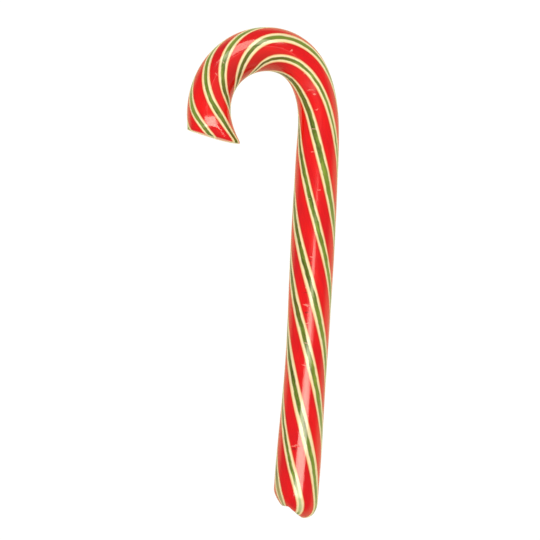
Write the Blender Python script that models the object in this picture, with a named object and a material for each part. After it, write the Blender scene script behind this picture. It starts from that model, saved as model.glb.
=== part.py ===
"""A candy cane: one stick of pulled boiled sugar, bent into a hook while warm and snipped off at both ends.

It lies on its side. Lengths are in millimetres up to the last step, which makes metres, +Z up.
The shaft runs along +Y, the hook curls over towards -X, and the origin is on the surface that the
cane rests on, at the middle of its outline. Everything is one solid, swept from the foot to the
hook's tip; the stripes are colours of the sugar and not separate pieces.
"""
import math

import bmesh
import bpy
from mathutils import Vector

MM = 0.001

# The centreline, from the foot to the hook's tip.
STICK_LENGTH = 190.9
FOOT_LEAN = 4.5  # degrees clockwise from +Y at the foot
STRAIGHT = math.inf
# Each pair is a distance from the foot and the bend's radius there; every bend turns towards -X.
BENDS = (
    (0.0, STRAIGHT),
    (35.0, STRAIGHT),
    (51.0, 600.0),
    (67.0, STRAIGHT),
    (112.0, STRAIGHT),
    (128.0, 37.5),
    (145.0, 13.5),
    (157.0, 17.2),
    (STICK_LENGTH, 24.0),
)

# Pulled by hand, the stick is uneven: a distance from the foot and the thickness there.
THICKNESS = (
    (0.0, 14.0),
    (14.0, 14.1),
    (45.0, 13.15),
    (88.0, 13.85),
    (108.0, 13.5),
    (129.0, 12.5),
    (153.0, 13.8),
    (173.0, 13.35),
    (STICK_LENGTH, 14.0),
)

# Lying down to cool, it settled more evenly: a distance from the foot and the height there.
HEIGHT = (
    (0.0, 13.9),
    (60.0, 13.6),
    (129.0, 13.2),
    (160.0, 13.2),
    (STICK_LENGTH, 13.5),
)
SQUARED = ((174.0, 2.0), (183.0, 2.4))  # the section's roundness, 2 a circle and more a squarer one

# Shears squeezed and skewed both ends while the sugar was warm.
FOOT_SKEW = 31.0  # degrees that the foot's cut leans, its outer side the longer
FOOT_SKEW_LENGTH = 16.0
FOOT_ROUNDING = 5.2
FOOT_TIP_SET = 2.2  # the rounded tip sits this far towards the inner side
FOOT_SNIP_LEAN = 37.3  # the flat that the shears left across the foot leans a little more
FOOT_SNIP_REACH = -0.6  # and passes this far beyond the foot's end
FOOT_LOBE_START = 3.1  # this far along the flat, towards the inner side, a lobe was squeezed out,
FOOT_LOBE_SLOPE = 0.8  # standing out by this much more for each millimetre
HOOK_SKEW = 37.5  # degrees that the hook's cut leans, its inner side the longer
HOOK_SKEW_LENGTH = 10.0
HOOK_ROUNDING = 0.9
BEAK_LENGTH = 9.0  # the hook's end is pressed wider on its inner side over this length
BEAK_SPREAD = 0.09  # share of the radius that the inner side gains
PRESS_START = 183.7  # the blades pressed the top and the underside flatter from this distance on,
PRESS_SLOPE = 0.09  # sloping towards -Y by this much
PRESS_FLATTENING = 1.0  # share of the section's own roundness that leans into the pressed slope
PRESS_LEAST = 0.02
DENT_MIDDLE = Vector((-1.5, -4.2))  # closer to the cut they left a round dent, this far from the stick's end
DENT_RADIUS = 7.75
DENT_SLOPE = 0.12
CREASE = 0.3  # softness of the edges between what the blades touched and what they did not
CUT_DOME = 0.5  # each cut face bulges by this much

LAND_DEPTH = 0.15  # the underside is flattened by this much, so that the cane does not roll

RINGS = 112
SIDES = 36
ROUNDING_RINGS = 4
FACE_RINGS = 2

SUGAR_COLOUR = (0.80, 0.02, 0.02, 1.0)
SUGAR_ROUGHNESS = 0.12


def eased(stations, at):
    """The value at a distance, passing smoothly from one station to the next."""
    if at <= stations[0][0]:
        return stations[0][1]
    for (start, before), (end, after) in zip(stations, stations[1:]):
        if at <= end:
            share = (at - start) / (end - start)
            share *= share * (3.0 - 2.0 * share)
            return before + (after - before) * share
    return stations[-1][1]


def rise(share):
    """0 below 0, 1 above 1, and a parabola that starts flat in between."""
    return min(max(share, 0.0), 1.0) ** 2


def soft_ramp(distance, softness):
    """0 below 0, then the distance itself, with the corner rounded off over the softness."""
    share = distance / softness
    return distance if share > 30.0 else softness * math.log1p(math.exp(share))


def centreline(distances, step=0.1):
    """The point and the heading, clockwise from +Y, at each distance from the foot."""
    curvature = [(at, 1.0 / radius) for at, radius in BENDS]
    point = Vector((0.0, 0.0))
    heading = math.radians(FOOT_LEAN)
    travelled = 0.0
    places = []
    for distance in distances:
        while travelled < distance - 1e-9:
            stride = min(step, distance - travelled)
            turn = eased(curvature, travelled + stride / 2.0) * stride
            middle = heading - turn / 2.0
            point = point + Vector((math.sin(middle), math.cos(middle))) * stride
            heading -= turn
            travelled += stride
        places.append((point.copy(), heading))
    return places


def ring_plan():
    """Each ring's distance from the foot and the share of the full radius it keeps, from end to end."""
    plan = []
    for end, rounding, inward in ((0.0, FOOT_ROUNDING, 1.0), (STICK_LENGTH, HOOK_ROUNDING, -1.0)):
        radius = eased(THICKNESS, end) / 2.0
        face = [
            (end + inward * CUT_DOME * (share ** 2), share * (radius - rounding) / radius)
            for share in ((n + 1) / (FACE_RINGS + 1) for n in range(FACE_RINGS))
        ]
        corner = []
        for n in range(ROUNDING_RINGS + 1):
            angle = math.radians(90.0) * n / ROUNDING_RINGS
            distance = CUT_DOME + rounding * (1.0 - math.cos(angle))
            corner.append((end + inward * distance, 1.0 - rounding * (1.0 - math.sin(angle)) / radius))
        plan.append(face + corner)
    foot, tip = plan
    first, last = foot[-1][0], tip[-1][0]
    middle = [(first + (last - first) * n / RINGS, 1.0) for n in range(1, RINGS)]
    return foot + middle + tip[::-1]


def press_drop(spot, heading, sideways, blades):
    """How far the shears' blades pressed the top and the underside together near the hook's end."""
    (start, turned), (end, _) = blades
    leaning = PRESS_FLATTENING * sideways * (math.sin(turned) + math.sin(heading)) / 2.0
    drop = max(PRESS_SLOPE - leaning, PRESS_LEAST) * soft_ramp(start.y - spot.y, CREASE)
    from_dent = (spot - end - DENT_MIDDLE).length
    return drop + DENT_SLOPE * soft_ramp(DENT_RADIUS - from_dent, CREASE)


def ring_points(distance, kept, point, heading, blades):
    """One ring of the stick, starting at its underside and going round by its outer side."""
    radius = eased(THICKNESS, distance) / 2.0
    half_height = eased(HEIGHT, distance) / 2.0
    power = eased(SQUARED, distance)
    along = Vector((math.sin(heading), math.cos(heading)))
    outward = Vector((math.cos(heading), -math.sin(heading)))
    from_tip = STICK_LENGTH - distance
    foot_lean = math.tan(math.radians(FOOT_SKEW)) * rise(1.0 - distance / FOOT_SKEW_LENGTH)
    hook_lean = math.tan(math.radians(HOOK_SKEW)) * rise(1.0 - from_tip / HOOK_SKEW_LENGTH)
    beak = rise(1.0 - from_tip / BEAK_LENGTH)
    tip_set = -FOOT_TIP_SET * (1.0 - kept) if distance < FOOT_SKEW_LENGTH else 0.0
    points = []
    for side in range(SIDES):
        angle = math.tau * side / SIDES
        sideways, upwards = math.sin(angle), -math.cos(angle)
        square = (abs(sideways) ** power + abs(upwards) ** power) ** (-1.0 / power)
        across = sideways * radius * kept * square
        if across < 0.0:
            across *= 1.0 + BEAK_SPREAD * beak
        skew = -across * (foot_lean + hook_lean)
        spot = point + outward * (across + tip_set) + along * skew
        pressed = press_drop(spot, heading, sideways, blades) if beak > 0.0 else 0.0
        height = upwards * (half_height * square - pressed) * kept
        points.append(Vector((spot.x, spot.y, half_height - LAND_DEPTH + height)))
    return points


def snip_foot(points, foot, heading):
    """Presses what reaches beyond the shears' flat back onto it, and leaves the lobe beside it."""
    lean = math.radians(FOOT_SNIP_LEAN) + heading
    outwards = Vector((-math.sin(lean), -math.cos(lean), 0.0))
    inwards = Vector((outwards.y, -outwards.x, 0.0))
    flat = foot.dot(outwards.xy) + FOOT_SNIP_REACH
    for point in points:
        along_flat = point.dot(inwards) - foot.dot(inwards.xy)
        lobe = FOOT_LOBE_SLOPE * soft_ramp(along_flat - FOOT_LOBE_START, CREASE)
        beyond = point.dot(outwards) - flat - lobe
        if beyond > 0.0:
            point -= outwards * beyond


def flatten_underside(points):
    """Nothing reaches below the surface that the cane rests on."""
    for point in points:
        point.z = max(point.z, 0.0)


def centre_outline(points):
    """Moves the origin to the middle of the outline seen from above."""
    for axis in (0, 1):
        middle = (min(p[axis] for p in points) + max(p[axis] for p in points)) / 2.0
        for point in points:
            point[axis] -= middle


def sugar_material():
    material = bpy.data.materials.new("boiled_sugar")
    material.use_nodes = True
    shader = material.node_tree.nodes["Principled BSDF"]
    shader.inputs["Base Color"].default_value = SUGAR_COLOUR
    shader.inputs["Roughness"].default_value = SUGAR_ROUGHNESS
    shader.inputs["Metallic"].default_value = 0.0
    return material


def candy_cane():
    plan = ring_plan()
    places = centreline([distance for distance, _ in plan])
    blades = centreline([PRESS_START, STICK_LENGTH])
    rings = [
        ring_points(distance, kept, point, heading, blades)
        for (distance, kept), (point, heading) in zip(plan, places)
    ]
    caps = [sum(rings[end], Vector()) / SIDES for end in (0, -1)]
    points = [point for ring in rings for point in ring] + caps
    snip_foot(points, *places[0])
    flatten_underside(points)
    centre_outline(points)

    form = bmesh.new()
    vertices = [form.verts.new(point * MM) for point in points]
    foot_centre, tip_centre = vertices[-2:]
    for ring in range(len(rings) - 1):
        for side in range(SIDES):
            here, there = ring * SIDES, (ring + 1) * SIDES
            following = (side + 1) % SIDES
            form.faces.new(
                (
                    vertices[here + side],
                    vertices[here + following],
                    vertices[there + following],
                    vertices[there + side],
                )
            )
    last = (len(rings) - 1) * SIDES
    for side in range(SIDES):
        following = (side + 1) % SIDES
        form.faces.new((vertices[following], vertices[side], foot_centre))
        form.faces.new((vertices[last + side], vertices[last + following], tip_centre))
    bmesh.ops.recalc_face_normals(form, faces=form.faces)

    mesh = bpy.data.meshes.new("candy_cane")
    form.to_mesh(mesh)
    form.free()
    mesh.shade_smooth()
    mesh.materials.append(sugar_material())
    cane = bpy.data.objects.new("candy_cane", mesh)
    bpy.context.scene.collection.objects.link(cane)
    return cane


def main():
    for item in list(bpy.data.objects):
        bpy.data.objects.remove(item)
    candy_cane()


main()
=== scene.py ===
"""The looks of the candy cane: a fine mesh of the pulled sugar with its twisted stripes, and the studio.

Lengths are in millimetres up to the last step. The sugar's mesh follows the same centreline,
thickness and cut ends as the CAD solid that it replaces, and lies a hair inside it.
"""
import math

import bpy
import numpy as np
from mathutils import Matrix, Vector, noise

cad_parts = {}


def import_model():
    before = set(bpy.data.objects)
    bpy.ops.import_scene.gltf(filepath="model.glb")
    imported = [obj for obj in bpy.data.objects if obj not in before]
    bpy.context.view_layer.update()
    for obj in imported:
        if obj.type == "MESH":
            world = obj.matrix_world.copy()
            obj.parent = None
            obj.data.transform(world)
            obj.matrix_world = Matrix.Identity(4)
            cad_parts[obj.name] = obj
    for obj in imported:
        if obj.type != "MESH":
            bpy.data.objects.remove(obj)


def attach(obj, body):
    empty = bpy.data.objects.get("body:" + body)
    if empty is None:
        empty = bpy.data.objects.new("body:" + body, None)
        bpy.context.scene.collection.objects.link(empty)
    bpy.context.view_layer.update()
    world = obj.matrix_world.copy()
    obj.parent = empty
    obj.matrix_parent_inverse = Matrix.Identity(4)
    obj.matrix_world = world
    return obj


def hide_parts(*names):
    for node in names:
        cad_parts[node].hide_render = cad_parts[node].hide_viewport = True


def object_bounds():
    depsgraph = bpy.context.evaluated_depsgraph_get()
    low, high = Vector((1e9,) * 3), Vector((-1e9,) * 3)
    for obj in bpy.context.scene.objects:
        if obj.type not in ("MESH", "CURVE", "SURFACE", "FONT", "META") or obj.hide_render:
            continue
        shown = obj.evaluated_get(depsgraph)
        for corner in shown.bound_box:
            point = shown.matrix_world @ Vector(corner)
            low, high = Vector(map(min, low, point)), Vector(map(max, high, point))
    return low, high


MM = 0.001

# The stick's centreline, thickness and ends, as in the CAD source.
STICK_LENGTH = 190.9
FOOT_LEAN = 4.5  # degrees clockwise from +Y at the foot
STRAIGHT = math.inf
# Each pair is a distance from the foot and the bend's radius there; every bend turns towards -X.
BENDS = (
    (0.0, STRAIGHT),
    (35.0, STRAIGHT),
    (51.0, 600.0),
    (67.0, STRAIGHT),
    (112.0, STRAIGHT),
    (128.0, 37.5),
    (145.0, 13.5),
    (157.0, 17.2),
    (STICK_LENGTH, 24.0),
)
THICKNESS = (
    (0.0, 14.0),
    (14.0, 14.1),
    (45.0, 13.15),
    (88.0, 13.85),
    (108.0, 13.5),
    (129.0, 12.5),
    (153.0, 13.8),
    (173.0, 13.35),
    (STICK_LENGTH, 14.0),
)
# Lying down to cool, it settled more evenly: a distance from the foot and the height there.
HEIGHT = (
    (0.0, 13.9),
    (60.0, 13.6),
    (129.0, 13.2),
    (160.0, 13.2),
    (STICK_LENGTH, 13.5),
)
FOOT_SKEW = 31.0  # degrees that the foot's cut leans, its outer side the longer
FOOT_SKEW_LENGTH = 16.0
FOOT_ROUNDING = 5.2
FOOT_TIP_SET = 2.2  # the rounded tip sits this far towards the inner side
FOOT_SNIP_LEAN = 37.3  # the flat that the shears left across the foot
FOOT_SNIP_REACH = -0.6
FOOT_LOBE_START = 3.1  # this far along the flat, towards the inner side, a lobe was squeezed out,
FOOT_LOBE_SLOPE = 0.8  # standing out by this much more for each millimetre
HOOK_SKEW = 37.5  # degrees that the hook's cut leans, its inner side the longer
HOOK_SKEW_LENGTH = 10.0
HOOK_ROUNDING = 0.9
BEAK_LENGTH = 9.0  # the hook's end is pressed wider on its inner side over this length
BEAK_SPREAD = 0.09  # share of the radius that the inner side gains
SQUARED = ((174.0, 2.0), (183.0, 2.4))  # the section's roundness, 2 a circle and more a squarer one
PRESS_START = 183.7  # the blades pressed the top and the underside flatter from this distance on,
PRESS_SLOPE = 0.09  # sloping towards -Y by this much
PRESS_FLATTENING = 1.0  # share of the section's own roundness that leans into the pressed slope
PRESS_LEAST = 0.02
PRESS_REACH = 10.0  # nothing is pressed further than this before its start
DENT_MIDDLE = (-1.5, -4.2)  # closer to the cut they left a round dent, this far from the stick's end
DENT_RADIUS = 7.75
DENT_SLOPE = 0.12
CUT_DOME = 0.5  # each cut face bulges by this much
LAND_DEPTH = 0.15  # depth of the flat along the underside

# The skin's own shape.
SKIN_INSET = 0.05  # the skin's mean surface lies this far inside the CAD solid
SWELL = 0.02  # height of the long swells that pulling left
SWELL_SPAN = (9.0, 9.0, 14.0)  # their size across and along the stick
RIPPLE = 0.006  # height of the finer ripples
RIPPLE_SPAN = (2.2, 2.2, 6.0)
RIPPLE_SHIFT = (0.0, 0.0, 50.0)  # keeps the ripples from following the swells
CREASE = 0.12  # softness of the creases where the pressed end begins

# How the stripes wind: a distance from the foot and the turn there, in degrees for each millimetre.
TWIST = (
    (7.2, 2.89),
    (67.2, 2.87),
    (107.2, 2.72),
    (132.2, 2.44),
    (147.2, 2.40),
    (158.2, 5.51),
    (172.2, 5.95),
    (STICK_LENGTH, 4.12),
)
TWIST_AT_FOOT = -25.7  # degrees that the first stripe is past the top at the foot

# The six stripes, 60 degrees apart. Each has a green band between two cream ones; these are
# degrees round the stick from the stripe's place: green from, green to, cream from, cream to.
STRIPES = (
    (-4.0, 4.0, -12.0, 12.0),
    (-6.0, 5.5, -16.0, 15.5),
    (-4.0, 8.5, -12.5, 17.0),
    (-8.0, 4.5, -17.0, 12.5),
    (-4.5, 6.5, -12.0, 13.0),
    (-8.5, 5.0, -16.5, 13.0),
)

# Marks of handling: each one's distance from the foot, degrees from the top towards the outer side,
# length across the stick, width along it, and lean in degrees.
# The pale marks are scuffed sugar with a painted glint.
PALE_NICKS = (
    (21.4, -12.0, 3.2, 0.42, -10.0),
    (46.3, -7.0, 1.5, 0.30, 0.0),
    (53.2, -5.0, 1.3, 0.35, 0.0),
    (59.3, -4.0, 1.4, 0.30, -6.0),
    (64.9, -9.0, 1.9, 0.55, 8.0),
    (70.3, -10.0, 1.2, 0.45, 12.0),
    (79.8, -2.0, 0.9, 0.35, 0.0),
    (97.8, -19.0, 1.4, 0.35, 0.0),
    (100.6, 9.0, 1.0, 0.40, 0.0),
    (112.2, -12.0, 1.3, 0.30, 0.0),
    (119.4, -13.5, 1.3, 0.45, 10.0),
    (125.4, -4.0, 1.3, 0.30, -8.0),
    (130.2, -3.0, 1.0, 0.50, 0.0),
    (131.8, -12.0, 2.2, 0.30, 14.0),
    (137.5, -8.0, 1.0, 0.30, 0.0),
    (145.5, 8.0, 1.2, 0.50, 20.0),
    (166.9, 9.0, 1.1, 0.35, 0.0),
    (170.9, 5.0, 1.0, 0.35, 0.0),
)
# The dark marks are painted shade in the dents.
DARK_NICKS = (
    (20.5, -13.0, 2.3, 0.55, -16.0),
    (62.6, -8.0, 1.2, 0.45, 0.0),
    (68.9, -12.0, 1.0, 0.35, 0.0),
    (78.6, -5.0, 1.0, 0.45, 0.0),
    (77.2, -2.0, 0.8, 0.40, 0.0),
)

NICK_DEPTH = 0.02
NICK_REACH = 3.0  # a mark reaches this far under and over the skin
NICK_EDGE = (1.25, 0.5)  # it fades in from outside its rim to halfway to its middle
NICK_FRAYING = 1.3  # cycles for each millimetre of the noise that frays its rim

# The stripes' edges: how far each band's edge lies from the cream's, and its softness, in degrees.
STRIPE_COUNT = 6
CREAM_EDGE, CREAM_SOFTNESS = 0.6, 1.6
CORE_EDGE, CORE_SOFTNESS = 2.6, 2.2  # inside it the cream is at its palest
RIM_EDGE, RIM_SOFTNESS = -2.6, 2.0  # up to here the red beside the cream is deeper
GREEN_SOFTNESS = 0.9

# Noises in the sugar, in cycles for each millimetre across and along the stick.
WOBBLE_SCALE = (0.16, 0.16, 0.035)
WOBBLE = 1.2  # degrees that the stripes wander
SHIVER_SCALE = (0.6, 0.6, 0.3)
SHIVER = 1.7  # degrees that the green's edges wander besides
CLOUD_SCALE = (0.22, 0.22, 0.07)
STREAK_SCALE = (1.6, 1.6, 0.08)
MOTTLE_SCALE = (0.9, 0.9, 0.22)
GRAIN_SCALE = (2.2, 2.2, 1.3)
STAIN_SCALE = (0.35, 0.35, 0.1)

# Where the hands and the shears changed the sugar, and the hook's inner side that is darkened as painted
# shade:
# distances from the foot from none to all, or for the sides, sines from the top towards the outer side.
BENT_FROM, BENT_TO = (138.0, 150.0), (181.0, 168.0)
# The hook's inner side: its red is deepened and its green turned olive, as painted shade.
SHADED_INNER_SIDE = (0.1, -0.45)
THINNED_ALONG, THINNED_Y = (13.0, 5.0), (4.5, 6.0)
DUSTED_ALONG, DUSTED_X = (14.0, 5.0), (-3.5, -5.0)
KNEADED_FROM, KNEADED_TO = (129.0, 137.0), (184.6, 183.0)
KNEADED_SIDE, KNEADED_LIMB = (0.10, 0.03), (-0.76, -0.52)
KNEADED_RAGGED = 0.02

# The sugar's colours, in sRGB from 0 to 255.
RED = (238, 9, 6)
CRIMSON = (222, 4, 16)
DEEP_RED = (182, 10, 6)
CREAM = (250, 234, 190)
PEACH = (251, 187, 127)
GREEN = (100, 122, 34)
DARK_GREEN = (72, 86, 16)
LIGHT_GREEN = (140, 164, 60)
OLIVE = (96, 84, 14)
MINT = (206, 216, 162)
BUFF = (186, 168, 112)
# pale pink of the scuffs, partly a painted glint
SCUFF_AND_GLINT = (255, 190, 170)
# painted shade in the dents
DENT_SHADE = (165, 10, 9)

# The sugar's gloss and body.
GLOSSY = 0.12
DULLED = 0.75  # roughness that is added where hands kneaded the sugar
REFRACTION = 1.58
BODY_SHARE = 0.12
BODY_RADIUS = (1.0, 0.35, 0.2)
BODY_DEPTH = 0.8

# The mesh: rings along the stick and points round it.
RINGS = 480
SIDES = 180
ROUNDING_RINGS = 14
FACE_RINGS = 10
MAP_MARGIN = 0.01  # share of the map's width

# The studio. Brightness is in the same unit as the floor's, where 1 is white.
CAMERA_HEIGHT = 931.0  # above the cane's middle
CAMERA_ABOVE = (2.17, 0.78)
CANE_MIDDLE = 6.9
LENS = 200.0
SENSOR = 36.0
LAMP_HEIGHT = 1250.0
LAMPS = (
    # name, shape, middle of the lamp as slopes (x, y) from the cane, its size as slopes, turn,
    # brightness, share of it that lights the sugar's body and not only its gloss
    ("lamp_near", "ELLIPSE", (0.23, -0.108), (0.91, 0.12), -5.3, 9.3, 1.0),
    ("lamp_edge", "ELLIPSE", (0.14, -0.02), (0.30, 0.12), 0.0, 5.6, 1.0),
    ("lamp_far", "RECTANGLE", (-0.30, 0.90), (0.70, 0.92), 52.0, 8.2, 0.6),
)
FILL_SIZE = 0.6  # a soft light straight above that the gloss does not show
FILL_BRIGHTNESS = 2.9
LAMP_COLOUR = (1.0, 0.95, 0.80)

# The light from all round: the white table's below, the dim room's above. The line between them
# is tilted, so that the bounce reaches higher on the +X side.
FLOOR_HALF = 2000.0
ROOM_UP = (-0.12, 0.28, 0.95)
ROOM_EDGE = (-0.38, 0.12)
ROOM_COLOUR = (0.30, 0.30, 0.31)
BOUNCE_COLOUR = (1.05, 1.0, 0.64)


def eased(stations, at):
    """The values at some distances, passing smoothly from one station to the next."""
    places, values = np.array(stations).T
    before = np.clip(np.searchsorted(places, at) - 1, 0, len(places) - 2)
    share = np.clip((at - places[before]) / (places[before + 1] - places[before]), 0.0, 1.0)
    share = share * share * (3.0 - 2.0 * share)
    return values[before] + (values[before + 1] - values[before]) * share


def rise(share):
    """0 below 0, 1 above 1, and a parabola that starts flat in between."""
    return np.clip(share, 0.0, 1.0) ** 2


def soft_ramp(distance, softness):
    """0 below 0, then the distance itself, with the corner rounded off over the softness."""
    return softness * np.logaddexp(0.0, distance / softness)


def running_sum(values, at, step=0.05):
    """The integral from the foot of a quantity given by stations, at some distances."""
    middles = np.arange(0.0, STICK_LENGTH, step) + step / 2.0
    total = np.concatenate(([0.0], np.cumsum(eased(values, middles) * step)))
    return np.interp(at, np.arange(len(total)) * step, total)


def twist_at(distance):
    """Degrees that the stick has been twisted at some distances from the foot."""
    return TWIST_AT_FOOT + running_sum(TWIST, distance)


def centreline(at, step=0.05):
    """The point and the heading, clockwise from +Y in radians, at some distances from the foot."""
    curvature = [(place, 1.0 / radius) for place, radius in BENDS]
    ends = np.arange(0.0, STICK_LENGTH + step, step)
    heading = math.radians(FOOT_LEAN) - running_sum(curvature, ends - step / 2.0)
    x = np.cumsum(np.sin(heading)) * step
    y = np.cumsum(np.cos(heading)) * step
    place = np.stack([np.interp(at, ends, x - x[0]), np.interp(at, ends, y - y[0])], axis=-1)
    return place, math.radians(FOOT_LEAN) - running_sum(curvature, at)


def ring_plan():
    """Each ring's distance from the foot and the share of the full radius it keeps, from end to end."""
    plan = []
    for end, rounding, inward in ((0.0, FOOT_ROUNDING, 1.0), (STICK_LENGTH, HOOK_ROUNDING, -1.0)):
        radius = float(eased(THICKNESS, end)) / 2.0
        face = [
            (end + inward * CUT_DOME * (share ** 2), share * (radius - rounding) / radius)
            for share in ((n + 1) / (FACE_RINGS + 1) for n in range(FACE_RINGS))
        ]
        corner = []
        for n in range(ROUNDING_RINGS + 1):
            angle = math.radians(90.0) * n / ROUNDING_RINGS
            distance = CUT_DOME + rounding * (1.0 - math.cos(angle))
            corner.append((end + inward * distance, 1.0 - rounding * (1.0 - math.sin(angle)) / radius))
        plan.append(face + corner)
    foot, tip = plan
    first, last = foot[-1][0], tip[-1][0]
    middle = [(first + (last - first) * n / RINGS, 1.0) for n in range(1, RINGS)]
    return np.array(foot + middle + tip[::-1])


def skin_relief(stick_places):
    """How far the pulled surface stands out at each point, from long swells and finer ripples."""
    swells = stick_places / SWELL_SPAN
    ripples = stick_places / RIPPLE_SPAN + RIPPLE_SHIFT
    return np.array(
        [
            SWELL * noise.noise(Vector(swell)) + RIPPLE * noise.noise(Vector(ripple))
            for swell, ripple in zip(swells, ripples)
        ]
    )


def press_drop(x, y, distance, heading, sideways):
    """How far the shears' blades pressed the top and the underside together near the hook's end."""
    (start, end), (turned, _) = centreline(np.array([PRESS_START, STICK_LENGTH]))
    leaning = PRESS_FLATTENING * sideways * (np.sin(turned) + np.sin(heading)) / 2.0
    drop = np.maximum(PRESS_SLOPE - leaning, PRESS_LEAST) * soft_ramp(start[1] - y, CREASE)
    from_dent = np.hypot(x - end[0] - DENT_MIDDLE[0], y - end[1] - DENT_MIDDLE[1])
    drop = drop + DENT_SLOPE * soft_ramp(DENT_RADIUS - from_dent, CREASE)
    return np.where(distance > PRESS_START - PRESS_REACH, drop, 0.0)


def sugar_points():
    """Points of the skin, ring by ring, the same on the unbent stick, and the side that they are on."""
    distance, kept = ring_plan().T
    place, heading = centreline(distance)
    radius = eased(THICKNESS, distance) / 2.0
    pulled = np.radians(np.arange(SIDES) * 360.0 / SIDES)[None, :]
    angle = pulled - np.radians(twist_at(distance))[:, None]  # from the top, towards the outer side
    half_height = eased(HEIGHT, distance) / 2.0

    columns = [value[:, None] for value in (distance, kept, radius, half_height, heading)]
    distance, kept, radius, half_height, heading = columns
    unbent = (radius * kept * np.sin(pulled), radius * kept * np.cos(pulled), distance)
    stick_places = np.stack(np.broadcast_arrays(*unbent), axis=-1)
    relief = skin_relief(stick_places.reshape(-1, 3)).reshape(angle.shape) - SKIN_INSET

    from_tip = STICK_LENGTH - distance
    beak = rise(1.0 - from_tip / BEAK_LENGTH)
    lean = math.tan(math.radians(FOOT_SKEW)) * rise(1.0 - distance / FOOT_SKEW_LENGTH)
    lean = lean + math.tan(math.radians(HOOK_SKEW)) * rise(1.0 - from_tip / HOOK_SKEW_LENGTH)
    tip_set = np.where(distance < FOOT_SKEW_LENGTH, -FOOT_TIP_SET * (1.0 - kept), 0.0)
    power = eased(SQUARED, distance)
    square = (np.abs(np.sin(angle)) ** power + np.abs(np.cos(angle)) ** power) ** (-1.0 / power)
    reach = (radius + relief) * kept * square
    across = np.sin(angle) * reach
    across = np.where(across < 0.0, across * (1.0 + BEAK_SPREAD * beak), across)
    skew = -across * lean

    x = place[:, :1] + np.cos(heading) * (across + tip_set) + np.sin(heading) * skew
    y = place[:, 1:] - np.sin(heading) * (across + tip_set) + np.cos(heading) * skew
    pressed = press_drop(x, y, distance, heading, np.sin(angle))
    height = half_height - LAND_DEPTH
    height = height + np.cos(angle) * ((half_height + relief) * square - pressed) * kept
    points = np.stack([x, y, height], axis=-1)
    return points, stick_places, np.sin(angle)


def snip_foot(points):
    """Presses what reaches beyond the shears' flat back onto it, and leaves the lobe beside it."""
    lean = math.radians(FOOT_SNIP_LEAN + FOOT_LEAN)
    outwards = np.array([-math.sin(lean), -math.cos(lean), 0.0])
    sideways = np.array([outwards[1], -outwards[0], 0.0])
    lobe = FOOT_LOBE_SLOPE * soft_ramp(points @ sideways - FOOT_LOBE_START, CREASE)
    beyond = np.maximum(points @ outwards - (FOOT_SNIP_REACH - SKIN_INSET) - lobe, 0.0)
    return points - beyond[..., None] * outwards


def ring_grid(ring_count):
    """Four-cornered faces between the rings, as numbers of the points."""
    ring, side = np.meshgrid(np.arange(ring_count - 1), np.arange(SIDES), indexing="ij")
    following = (side + 1) % SIDES
    here, there = ring * SIDES, (ring + 1) * SIDES
    corners = [here + side, here + following, there + following, there + side]
    return np.stack(corners, axis=-1).reshape(-1, 4)


def lay_out_map(mesh, points):
    """The OFBake map: the skin unrolled along its stripes, in two strips side by side."""
    rings = len(points)
    strides = np.linalg.norm(np.diff(points, axis=0), axis=-1).mean(axis=1)
    along = np.concatenate(([0.0], np.cumsum(strides)))
    along /= along[-1]
    half = int(np.searchsorted(along, 0.5))
    width, length = 0.5 - 2.0 * MAP_MARGIN, 1.0 - 2.0 * MAP_MARGIN

    def columns(strip):
        left = strip * 0.5 + MAP_MARGIN
        return [(left + width * side / SIDES, left + width * (side + 1) / SIDES) for side in range(SIDES)]

    corners = []
    for ring in range(rings - 1):
        strip = 0 if ring < half else 1
        start, end = (0.0, along[half]) if strip == 0 else (along[half], 1.0)
        low, high = (MAP_MARGIN + length * (along[at] - start) / (end - start) for at in (ring, ring + 1))
        for near, far in columns(strip):
            corners += [(near, low), (far, low), (far, high), (near, high)]
    foot_fan, tip_fan = (0, MAP_MARGIN, MAP_MARGIN / 2.0), (1, 1.0 - MAP_MARGIN, 1.0 - MAP_MARGIN / 2.0)
    for strip, inner, edge in (foot_fan, tip_fan):
        for near, far in columns(strip):
            corners += [(near, inner), (far, inner), ((near + far) / 2.0, edge)]
    layer = mesh.uv_layers.new(name="OFBake")
    layer.data.foreach_set("uv", np.array(corners, np.float32).ravel())


def candy_cane_mesh(cad_low, cad_high):
    """The skin, moved to the middle of the CAD solid's box."""
    points, stick_places, outer_side = sugar_points()
    points = snip_foot(points)
    points[..., 2] = np.maximum(points[..., 2], 0.0)
    rings = len(points)
    caps = points[[0, -1]].mean(axis=1)
    cap_places = np.array([[0.0, 0.0, 0.0], [0.0, 0.0, STICK_LENGTH]])

    flat = np.concatenate([points.reshape(-1, 3), caps])
    middle = (flat.min(axis=0) + flat.max(axis=0)) / 2.0
    cad_middle = (np.array(cad_low) + np.array(cad_high)) / 2.0 / MM
    flat[:, :2] += (cad_middle - middle)[:2]

    faces = ring_grid(rings)
    foot_cap, tip_cap = len(flat) - 2, len(flat) - 1
    side = np.arange(SIDES)
    following = (side + 1) % SIDES
    last = (rings - 1) * SIDES
    triangles = [(int(f), int(s), foot_cap) for s, f in zip(side, following)]
    triangles += [(int(last + s), int(last + f), tip_cap) for s, f in zip(side, following)]

    mesh = bpy.data.meshes.new("candy_cane_sugar")
    mesh.from_pydata((flat * MM).tolist(), [], faces.tolist() + triangles)
    places = np.concatenate([stick_places.reshape(-1, 3), cap_places]).astype(np.float32)
    attribute = mesh.attributes.new("stick_place", "FLOAT_VECTOR", "POINT")
    attribute.data.foreach_set("vector", places.ravel())
    attribute = mesh.attributes.new("outer_side", "FLOAT", "POINT")
    attribute.data.foreach_set("value", np.append(outer_side.ravel(), [0.0, 0.0]).astype(np.float32))
    lay_out_map(mesh, points)
    mesh.shade_smooth()
    mesh.update()
    return mesh


def linear(rgb):
    """A colour given in sRGB, 0 to 255, as Blender's linear values."""
    shares = (value / 255.0 for value in rgb)
    return tuple(s / 12.92 if s <= 0.04045 else ((s + 0.055) / 1.055) ** 2.4 for s in shares)


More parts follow.
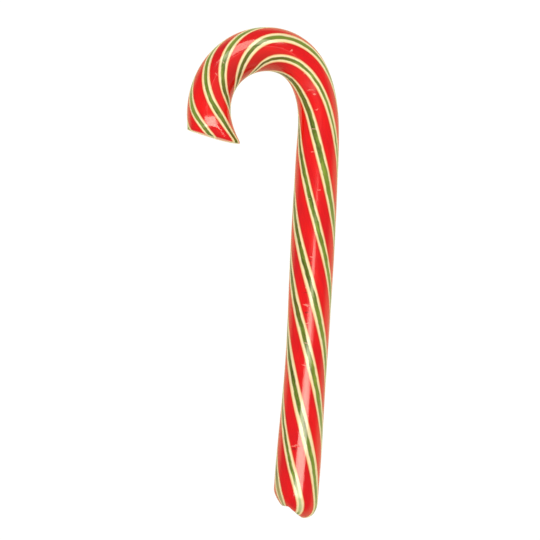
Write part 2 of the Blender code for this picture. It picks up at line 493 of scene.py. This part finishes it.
class Shading:
    """Short ways to add and join a material's nodes."""

    def __init__(self, name):
        self.material = bpy.data.materials.new(name)
        self.material.use_nodes = True
        self.tree = self.material.node_tree
        self.surface = self.tree.nodes["Principled BSDF"]

    def node(self, kind, **settings):
        made = self.tree.nodes.new(kind)
        for name, value in settings.items():
            setattr(made, name, value)
        return made

    def put(self, socket, value):
        if isinstance(value, bpy.types.NodeSocket):
            self.tree.links.new(value, socket)
        else:
            socket.default_value = value

    def sum(self, operation, *values):
        made = self.node("ShaderNodeMath", operation=operation)
        for socket, value in zip(made.inputs, values):
            self.put(socket, value)
        return made.outputs[0]

    def mix(self, share, first, second):
        made = self.node("ShaderNodeMix", data_type="RGBA")
        self.put(made.inputs[0], share)
        for socket, colour in ((made.inputs[6], first), (made.inputs[7], second)):
            self.put(socket, colour if isinstance(colour, bpy.types.NodeSocket) else (*linear(colour), 1.0))
        return made.outputs[2]

    def share(self, *shares):
        """The shares multiplied with each other."""
        product = shares[0]
        for share in shares[1:]:
            product = self.sum("MULTIPLY", product, share)
        return product

    def between(self, value, low, high):
        """0 below low, 1 above high and a smooth step in between."""
        made = self.node("ShaderNodeMapRange", interpolation_type="SMOOTHSTEP")
        for socket, number in zip(made.inputs, (value, low, high, 0.0, 1.0)):
            self.put(socket, number)
        return made.outputs[0]

    def noise(self, place, scale, detail=2.0):
        """A noise between about -1 and 1. Scale is a number for each direction of place."""
        stretched = self.node("ShaderNodeVectorMath", operation="MULTIPLY")
        self.put(stretched.inputs[0], place)
        stretched.inputs[1].default_value = scale
        made = self.node("ShaderNodeTexNoise", noise_dimensions="3D")
        self.put(made.inputs["Vector"], stretched.outputs[0])
        made.inputs["Scale"].default_value = 1.0
        made.inputs["Detail"].default_value = detail
        return self.sum("MULTIPLY_ADD", made.outputs["Fac"], 4.0, -2.0)

    def marked(self, place, nicks):
        """1 in the middle of the nicks and 0 elsewhere."""
        found = 0.0
        for distance, degrees, across, along, lean in nicks:
            pulled = math.radians(degrees + twist_at(distance))
            radius = float(eased(THICKNESS, distance)) / 2.0
            inside = self.node("ShaderNodeMapping", vector_type="TEXTURE")
            self.put(inside.inputs["Vector"], place)
            inside.inputs["Location"].default_value = (
                radius * math.sin(pulled),
                radius * math.cos(pulled),
                distance,
            )
            inside.inputs["Rotation"].default_value = (0.0, math.radians(lean), -pulled)
            inside.inputs["Scale"].default_value = (across / 2.0, NICK_REACH, along / 2.0)
            size = self.node("ShaderNodeVectorMath", operation="LENGTH")
            self.put(size.inputs[0], inside.outputs[0])
            found = self.sum("MAXIMUM", self.between(size.outputs["Value"], *NICK_EDGE), found)
        return found

    def bands(self, turn, edges, softness):
        """1 on each stripe's band and 0 between; turn is a share of a whole turn."""
        made = self.node("ShaderNodeValToRGB")
        stops = made.color_ramp.elements
        made.color_ramp.interpolation = "EASE"
        wanted = []
        for number, (low, high) in enumerate(edges):
            middle = (number + 0.5) * 360.0 / STRIPE_COUNT
            wanted += [
                (middle + low - softness, 0.0),
                (middle + low + softness, 1.0),
                (middle + high - softness, 1.0),
                (middle + high + softness, 0.0),
            ]
        while len(stops) < len(wanted):
            stops.new(1.0)
        for stop, (degrees, value) in zip(stops, wanted):
            stop.position = degrees / 360.0
            stop.color = (value, value, value, 1.0)
        self.put(made.inputs[0], turn)
        return made.outputs[0]


class Stick:
    """What the sugar's colours depend on: where a point is on the unbent stick, and its stripes."""

    def __init__(self, shading):
        self.place = shading.node("ShaderNodeAttribute", attribute_name="stick_place").outputs["Vector"]
        parts = shading.node("ShaderNodeSeparateXYZ")
        shading.put(parts.inputs[0], self.place)
        self.x, self.y, self.along = parts.outputs
        self.outer_side = shading.node("ShaderNodeAttribute", attribute_name="outer_side").outputs["Fac"]

        wobble = shading.noise(self.place, WOBBLE_SCALE, detail=3.0)
        turn = shading.sum("ARCTAN2", self.x, self.y)
        first = 1.0 + 0.5 / STRIPE_COUNT
        turn = shading.sum("MULTIPLY_ADD", turn, 1.0 / math.tau, first)
        turn = shading.sum("FRACT", shading.sum("MULTIPLY_ADD", wobble, WOBBLE / 360.0, turn))
        shiver = shading.noise(self.place, SHIVER_SCALE, detail=3.0)
        green_turn = shading.sum("MULTIPLY_ADD", shiver, SHIVER / 360.0, turn)

        def band(inwards, softness):
            edges = [(low + inwards, high - inwards) for _, _, low, high in STRIPES]
            return shading.bands(turn, edges, softness)

        self.cream = band(CREAM_EDGE, CREAM_SOFTNESS)
        self.core = band(CORE_EDGE, CORE_SOFTNESS)
        self.rim = band(RIM_EDGE, RIM_SOFTNESS)
        self.green = shading.bands(green_turn, [edges[:2] for edges in STRIPES], GREEN_SOFTNESS)
        self.streak = shading.noise(self.place, STREAK_SCALE, detail=3.0)

        self.bent = shading.share(
            shading.between(self.along, *BENT_FROM), shading.between(self.along, *BENT_TO)
        )
        # pressed marks the hook's inner side, where the colours are darkened as painted shade
        self.pressed = shading.share(self.bent, shading.between(self.outer_side, *SHADED_INNER_SIDE))


def red_sugar(shading, stick):
    """Red with crimson clouds and deeper streaks, deeper beside the stripes and in the hook, and deepest on
    the hook's inner side as painted shade.
    """
    cloud = shading.noise(stick.place, CLOUD_SCALE, detail=3.0)
    red = shading.mix(shading.between(cloud, -0.5, 0.7), RED, CRIMSON)
    for share in (
        shading.share(shading.between(stick.streak, 0.0, 1.4), 0.35),
        shading.share(stick.rim, 0.5),
        # the whole hook a deeper red
        shading.share(stick.bent, 0.26),
        # deeper red on the hook's inner side: painted shade
        shading.share(stick.pressed, 0.5),
    ):
        red = shading.mix(share, red, DEEP_RED)
    return red


def green_sugar(shading, stick):
    """Mottled green with olive stains, paler at the foot; olive towards the inner side is painted shade and
    paler on the outer side painted light.
    """
    mottle = shading.noise(stick.place, MOTTLE_SCALE, detail=4.0)
    grain = shading.noise(stick.place, GRAIN_SCALE, detail=2.0)
    stain = shading.noise(stick.place, STAIN_SCALE, detail=3.0)
    # olive towards the inner side, added to the random stains: painted shade
    inner = shading.between(stick.outer_side, -0.3, -1.0)
    stains_and_shade = shading.sum("ADD", shading.between(stain, 0.0, 0.9), inner)
    thinned = (shading.between(stick.along, *THINNED_ALONG), shading.between(stick.y, *THINNED_Y))
    dusted = (shading.between(stick.along, *DUSTED_ALONG), shading.between(stick.x, *DUSTED_X))
    leaf = shading.mix(shading.between(mottle, 0.0, 0.9), GREEN, LIGHT_GREEN)
    for share, colour in (
        (shading.between(mottle, 0.0, -0.8), DARK_GREEN),
        (shading.share(shading.between(grain, 0.1, 1.1), 0.5), LIGHT_GREEN),
        (shading.share(shading.between(grain, -0.1, -1.1), 0.5), DARK_GREEN),
        (shading.share(stains_and_shade, 0.5), OLIVE),
        # paler green towards the outer side: painted light
        (shading.share(shading.between(stick.outer_side, 0.0, 0.6), 0.45), LIGHT_GREEN),
        # olive on the hook's inner side: painted shade
        (shading.share(stick.pressed, 0.6), OLIVE),
        (shading.share(*thinned, 0.8), MINT),
        (shading.share(*dusted, 0.8), BUFF),
    ):
        leaf = shading.mix(share, leaf, colour)
    return leaf


def frayed_place(shading, stick):
    """The places on the stick, shifted a little by a noise."""
    fraying = shading.node("ShaderNodeTexNoise", noise_dimensions="3D")
    shading.put(fraying.inputs["Vector"], stick.place)
    fraying.inputs["Scale"].default_value = NICK_FRAYING
    centred = shading.node("ShaderNodeVectorMath", operation="SUBTRACT")
    shading.put(centred.inputs[0], fraying.outputs["Color"])
    centred.inputs[1].default_value = (0.5, 0.5, 0.5)
    frayed = shading.node("ShaderNodeVectorMath", operation="ADD")
    shading.put(frayed.inputs[0], centred.outputs[0])
    shading.put(frayed.inputs[1], stick.place)
    return frayed.outputs[0]


def kneaded_share(shading, stick):
    """1 on the hook's inner side, which hands left dull, and 0 elsewhere."""
    ragged = shading.sum("MULTIPLY_ADD", stick.streak, KNEADED_RAGGED, stick.outer_side)
    return shading.share(
        shading.between(ragged, *KNEADED_SIDE),
        shading.between(ragged, *KNEADED_LIMB),
        shading.between(stick.along, *KNEADED_FROM),
        shading.between(stick.along, *KNEADED_TO),
    )


def sugar_material():
    shading = Shading("striped_boiled_sugar")
    stick = Stick(shading)
    pale = shading.mix(stick.core, PEACH, CREAM)
    colour = shading.mix(stick.cream, red_sugar(shading, stick), pale)
    colour = shading.mix(stick.green, colour, green_sugar(shading, stick))
    frayed = frayed_place(shading, stick)
    pale_nicks = shading.marked(frayed, PALE_NICKS)
    dark_nicks = shading.marked(frayed, DARK_NICKS)
    # the pale nicks: scuffed sugar, partly a painted glint
    colour = shading.mix(shading.share(pale_nicks, 0.4), colour, SCUFF_AND_GLINT)
    # the dark nicks: painted shade in the dents
    colour = shading.mix(shading.share(dark_nicks, 0.85), colour, DENT_SHADE)
    dull = shading.sum("MAXIMUM", kneaded_share(shading, stick), shading.share(pale_nicks, 0.5))
    dented = shading.node("ShaderNodeBump")
    dented.inputs["Strength"].default_value = 1.0
    dented.inputs["Distance"].default_value = NICK_DEPTH * MM
    shading.put(dented.inputs["Height"], shading.share(pale_nicks, -1.0))

    surface = shading.surface
    shading.put(surface.inputs["Base Color"], colour)
    shading.put(surface.inputs["Roughness"], shading.sum("MULTIPLY_ADD", dull, DULLED, GLOSSY))
    shading.put(surface.inputs["Normal"], dented.outputs[0])
    surface.inputs["IOR"].default_value = REFRACTION
    surface.inputs["Subsurface Weight"].default_value = BODY_SHARE
    surface.inputs["Subsurface Radius"].default_value = BODY_RADIUS
    surface.inputs["Subsurface Scale"].default_value = BODY_DEPTH * MM
    return shading.material


def floor_material():
    """White paper, lit so brightly that nothing shades it."""
    shading = Shading("white_floor")
    surface = shading.surface
    surface.inputs["Base Color"].default_value = (0.05, 0.05, 0.05, 1.0)
    surface.inputs["Roughness"].default_value = 0.9
    surface.inputs["Specular IOR Level"].default_value = 0.0
    surface.inputs["Emission Color"].default_value = (1.0, 1.0, 1.0, 1.0)
    surface.inputs["Emission Strength"].default_value = 1.0
    return shading.material


def floor():
    """The camera alone sees the floor. What the floor throws back onto the cane is in the world's light."""
    half = FLOOR_HALF * MM
    corners = [(-half, -half, 0.0), (half, -half, 0.0), (half, half, 0.0), (-half, half, 0.0)]
    mesh = bpy.data.meshes.new("floor")
    mesh.from_pydata(corners, [], [(0, 1, 2, 3)])
    mesh.materials.append(floor_material())
    made = bpy.data.objects.new("floor", mesh)
    made.visible_diffuse = made.visible_glossy = made.visible_transmission = made.visible_shadow = False
    bpy.context.scene.collection.objects.link(made)


def area_lamp(name, shape, place, size, turn, brightness):
    """A lamp that shines straight down. Its place and size are slopes as seen from the cane."""
    lamp = bpy.data.lights.new(name, "AREA")
    lamp.shape = shape
    lamp.size, lamp.size_y = (length * LAMP_HEIGHT * MM for length in size)
    area = lamp.size * lamp.size_y * (math.pi / 4.0 if shape == "ELLIPSE" else 1.0)
    lamp.energy = brightness * math.pi * area
    lamp.color = LAMP_COLOUR
    made = bpy.data.objects.new(name, lamp)
    made.location = Vector((*place, 1.0)) * LAMP_HEIGHT * MM
    made.rotation_euler.z = math.radians(turn)
    bpy.context.scene.collection.objects.link(made)
    return made


def studio():
    """The lamps and the light from all round."""
    for name, shape, place, size, turn, brightness, body_share in LAMPS:
        area_lamp(name, shape, place, size, turn, brightness * body_share)
        if body_share < 1.0:
            rest = brightness * (1.0 - body_share)
            glint = area_lamp(name + "_glint", shape, place, size, turn, rest)
            glint.visible_diffuse = False
    fill = area_lamp("lamp_fill", "RECTANGLE", (0.0, 0.0), (FILL_SIZE, FILL_SIZE), 0.0, FILL_BRIGHTNESS)
    fill.visible_glossy = False

    world = bpy.data.worlds.new("studio")
    world.use_nodes = True
    bpy.context.scene.world = world
    tree = world.node_tree
    coordinates = tree.nodes.new("ShaderNodeTexCoord")
    upwards = tree.nodes.new("ShaderNodeVectorMath")
    upwards.operation = "DOT_PRODUCT"
    upwards.inputs[1].default_value = ROOM_UP
    share = tree.nodes.new("ShaderNodeMapRange")
    share.interpolation_type = "SMOOTHSTEP"
    share.inputs["From Min"].default_value, share.inputs["From Max"].default_value = ROOM_EDGE
    blend = tree.nodes.new("ShaderNodeMix")
    blend.data_type = "RGBA"
    blend.inputs[6].default_value = (*BOUNCE_COLOUR, 1.0)
    blend.inputs[7].default_value = (*ROOM_COLOUR, 1.0)
    tree.links.new(coordinates.outputs["Generated"], upwards.inputs[0])
    tree.links.new(upwards.outputs["Value"], share.inputs["Value"])
    tree.links.new(share.outputs["Result"], blend.inputs[0])
    tree.links.new(blend.outputs[2], tree.nodes["Background"].inputs["Color"])


def camera():
    lens = bpy.data.cameras.new("camera")
    lens.lens = LENS
    lens.sensor_width = SENSOR
    made = bpy.data.objects.new("camera", lens)
    made.location = Vector((*CAMERA_ABOVE, CAMERA_HEIGHT + CANE_MIDDLE)) * MM
    bpy.context.scene.collection.objects.link(made)
    bpy.context.scene.camera = made


def main():
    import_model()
    cad_low, cad_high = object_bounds()
    camera()
    studio()
    floor()

    bpy.context.scene.view_settings.view_transform = "Standard"
    mesh = candy_cane_mesh(cad_low, cad_high)
    mesh.materials.append(sugar_material())
    cane = bpy.data.objects.new("candy_cane_sugar", mesh)
    bpy.context.scene.collection.objects.link(cane)
    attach(cane, "root")
    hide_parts("candy_cane")


main()
